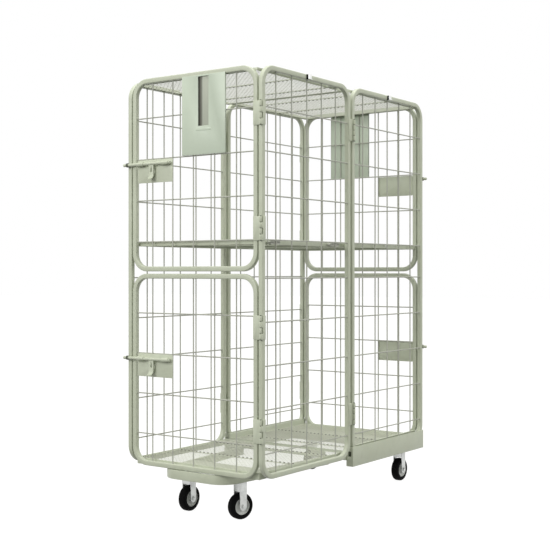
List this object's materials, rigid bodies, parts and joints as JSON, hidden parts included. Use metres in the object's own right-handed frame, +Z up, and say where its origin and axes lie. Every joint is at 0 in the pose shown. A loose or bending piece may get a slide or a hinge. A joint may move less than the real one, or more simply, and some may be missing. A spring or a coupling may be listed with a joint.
{
  "type": "roll cage container",
  "caption": "Tall folding wire roll cage on swivel casters, with split end gates, sliding latch bolts, a mid shelf, a top cover and a mesh deck.",
  "frame": {"origin": "on the ground, under the middle of the cage", "axes": "+X along the cage towards the end whose side panels stand in the deep base beams, +Z up, +Y across"},
  "size_m": [1.2832, 0.69, 1.7023],
  "materials": {
    "painted_steel": "satin powder coat, pale grey-green",
    "zinc": "bright zinc plate",
    "hub": "grey wheel centre",
    "tyre_rubber": "matt black rubber"
  },
  "bodies": {
    "base_and_right_side": {"base_frame": "painted_steel", "tongue": "painted_steel", "deck_right": "painted_steel", "front_right_frame": "painted_steel", "front_right_wires": "painted_steel", "back_right_frame": "painted_steel", "back_right_wires": "painted_steel", "front_right_hook_clip": "zinc", "front_right_d_ring": "zinc", "left_front_caster_head": "zinc", "left_back_caster_head": "zinc", "right_front_caster_head": "zinc", "right_back_caster_head": "zinc"},
    "front_left_side": {"front_left_frame": "painted_steel", "front_left_wires": "painted_steel", "front_left_hook_clip": "zinc"},
    "back_left_side": {"back_left_frame": "painted_steel", "back_left_wires": "painted_steel", "back_left_hook_clip": "zinc", "back_left_d_ring": "zinc"},
    "near_upper_gate": {"near_upper_gate_frame": "painted_steel", "near_upper_gate_wires": "painted_steel", "near_upper_gate_latch_plate": "painted_steel", "near_upper_gate_document_holder": "painted_steel"},
    "near_upper_gate_latch_bolt": {"near_upper_gate_bolt": "painted_steel"},
    "near_lower_gate": {"near_lower_gate_frame": "painted_steel", "near_lower_gate_wires": "painted_steel", "near_lower_gate_latch_plate": "painted_steel"},
    "near_lower_gate_latch_bolt": {"near_lower_gate_bolt": "painted_steel"},
    "far_upper_gate": {"far_upper_gate_frame": "painted_steel", "far_upper_gate_wires": "painted_steel", "far_upper_gate_latch_plate": "painted_steel", "far_upper_gate_document_holder": "painted_steel"},
    "far_upper_gate_latch_bolt": {"far_upper_gate_bolt": "painted_steel"},
    "far_lower_gate": {"far_lower_gate_frame": "painted_steel", "far_lower_gate_wires": "painted_steel", "far_lower_gate_latch_plate": "painted_steel"},
    "far_lower_gate_latch_bolt": {"far_lower_gate_bolt": "painted_steel"},
    "deck_left_flap": {"deck_left": "painted_steel"},
    "shelf_left_half": {"shelf_left": "painted_steel"},
    "shelf_right_half": {"shelf_right": "painted_steel"},
    "cover_left_half": {"cover_left": "painted_steel"},
    "cover_right_half": {"cover_right": "painted_steel"},
    "left_front_caster": {"left_front_caster_fork": "zinc", "left_front_caster_axle": "zinc"},
    "left_front_wheel": {"left_front_caster_tyre": "tyre_rubber", "left_front_caster_hub": "hub"},
    "left_back_caster": {"left_back_caster_fork": "zinc", "left_back_caster_axle": "zinc"},
    "left_back_wheel": {"left_back_caster_tyre": "tyre_rubber", "left_back_caster_hub": "hub"},
    "right_front_caster": {"right_front_caster_fork": "zinc", "right_front_caster_axle": "zinc"},
    "right_front_wheel": {"right_front_caster_tyre": "tyre_rubber", "right_front_caster_hub": "hub"},
    "right_back_caster": {"right_back_caster_fork": "zinc", "right_back_caster_axle": "zinc"},
    "right_back_wheel": {"right_back_caster_tyre": "tyre_rubber", "right_back_caster_hub": "hub"}
  },
  "joints": [
    {"name": "front_fold", "type": "hinge", "parent": "base_and_right_side", "child": "front_left_side", "pos_m": [0.01, -0.3362, 0.9], "axis": [0, 0, 1], "range_deg": [0, 90]},
    {"name": "back_fold", "type": "hinge", "parent": "base_and_right_side", "child": "back_left_side", "pos_m": [0.01, 0.3362, 0.9], "axis": [0, 0, -1], "range_deg": [0, 90]},
    {"name": "near_upper_gate_swing", "type": "hinge", "parent": "front_left_side", "child": "near_upper_gate", "pos_m": [-0.6172, -0.326, 1.3], "axis": [0, 0, 1], "range_deg": [0, 180]},
    {"name": "near_upper_gate_bolt_slide", "type": "slide", "parent": "near_upper_gate", "child": "near_upper_gate_latch_bolt", "axis": [0, -1, 0], "range_m": [0, 0.036]},
    {"name": "near_lower_gate_swing", "type": "hinge", "parent": "front_left_side", "child": "near_lower_gate", "pos_m": [-0.6172, -0.326, 0.56], "axis": [0, 0, 1], "range_deg": [0, 180]},
    {"name": "near_lower_gate_bolt_slide", "type": "slide", "parent": "near_lower_gate", "child": "near_lower_gate_latch_bolt", "axis": [0, -1, 0], "range_m": [0, 0.036]},
    {"name": "far_upper_gate_swing", "type": "hinge", "parent": "base_and_right_side", "child": "far_upper_gate", "pos_m": [0.6172, 0.326, 1.3], "axis": [0, 0, 1], "range_deg": [0, 180]},
    {"name": "far_upper_gate_bolt_slide", "type": "slide", "parent": "far_upper_gate", "child": "far_upper_gate_latch_bolt", "axis": [0, 1, 0], "range_m": [0, 0.036]},
    {"name": "far_lower_gate_swing", "type": "hinge", "parent": "base_and_right_side", "child": "far_lower_gate", "pos_m": [0.6172, 0.326, 0.56], "axis": [0, 0, 1], "range_deg": [0, 180]},
    {"name": "far_lower_gate_bolt_slide", "type": "slide", "parent": "far_lower_gate", "child": "far_lower_gate_latch_bolt", "axis": [0, 1, 0], "range_m": [0, 0.036]},
    {"name": "deck_left_flip", "type": "hinge", "parent": "base_and_right_side", "child": "deck_left_flap", "pos_m": [-0.008, 0, 0.1988], "axis": [0, 1, 0], "range_deg": [0, 90]},
    {"name": "shelf_left_lift", "type": "hinge", "parent": "front_left_side", "child": "shelf_left_half", "pos_m": [-0.297, -0.303, 1.05275], "axis": [1, 0, 0], "range_deg": [0, 90]},
    {"name": "shelf_right_lift", "type": "hinge", "parent": "base_and_right_side", "child": "shelf_right_half", "pos_m": [0.297, 0.303, 1.05275], "axis": [-1, 0, 0], "range_deg": [0, 90]},
    {"name": "cover_left_lift", "type": "hinge", "parent": "front_left_side", "child": "cover_left_half", "pos_m": [-0.297, -0.299, 1.6825], "axis": [1, 0, 0], "range_deg": [0, 90]},
    {"name": "cover_right_lift", "type": "hinge", "parent": "base_and_right_side", "child": "cover_right_half", "pos_m": [0.297, 0.299, 1.6825], "axis": [-1, 0, 0], "range_deg": [0, 90]},
    {"name": "left_front_swivel", "type": "hinge", "parent": "base_and_right_side", "child": "left_front_caster", "pos_m": [-0.449, -0.131, 0.12], "axis": [0, 0, 1], "continuous": true},
    {"name": "left_front_wheel_spin", "type": "hinge", "parent": "left_front_caster", "child": "left_front_wheel", "pos_m": [-0.47264, -0.12286, 0.05], "axis": [0.3256, 0.9455, 0], "continuous": true},
    {"name": "left_back_swivel", "type": "hinge", "parent": "base_and_right_side", "child": "left_back_caster", "pos_m": [-0.449, 0.131, 0.12], "axis": [0, 0, 1], "continuous": true},
    {"name": "left_back_wheel_spin", "type": "hinge", "parent": "left_back_caster", "child": "left_back_wheel", "pos_m": [-0.474, 0.131, 0.05], "axis": [0, 1, 0], "continuous": true},
    {"name": "right_front_swivel", "type": "hinge", "parent": "base_and_right_side", "child": "right_front_caster", "pos_m": [0.534, -0.239, 0.12], "axis": [0, 0, 1], "continuous": true},
    {"name": "right_front_wheel_spin", "type": "hinge", "parent": "right_front_caster", "child": "right_front_wheel", "pos_m": [0.559, -0.239, 0.05], "axis": [0, 1, 0], "continuous": true},
    {"name": "right_back_swivel", "type": "hinge", "parent": "base_and_right_side", "child": "right_back_caster", "pos_m": [0.534, 0.239, 0.12], "axis": [0, 0, 1], "continuous": true},
    {"name": "right_back_wheel_spin", "type": "hinge", "parent": "right_back_caster", "child": "right_back_wheel", "pos_m": [0.559, 0.239, 0.05], "axis": [0, 1, 0], "continuous": true}
  ]
}
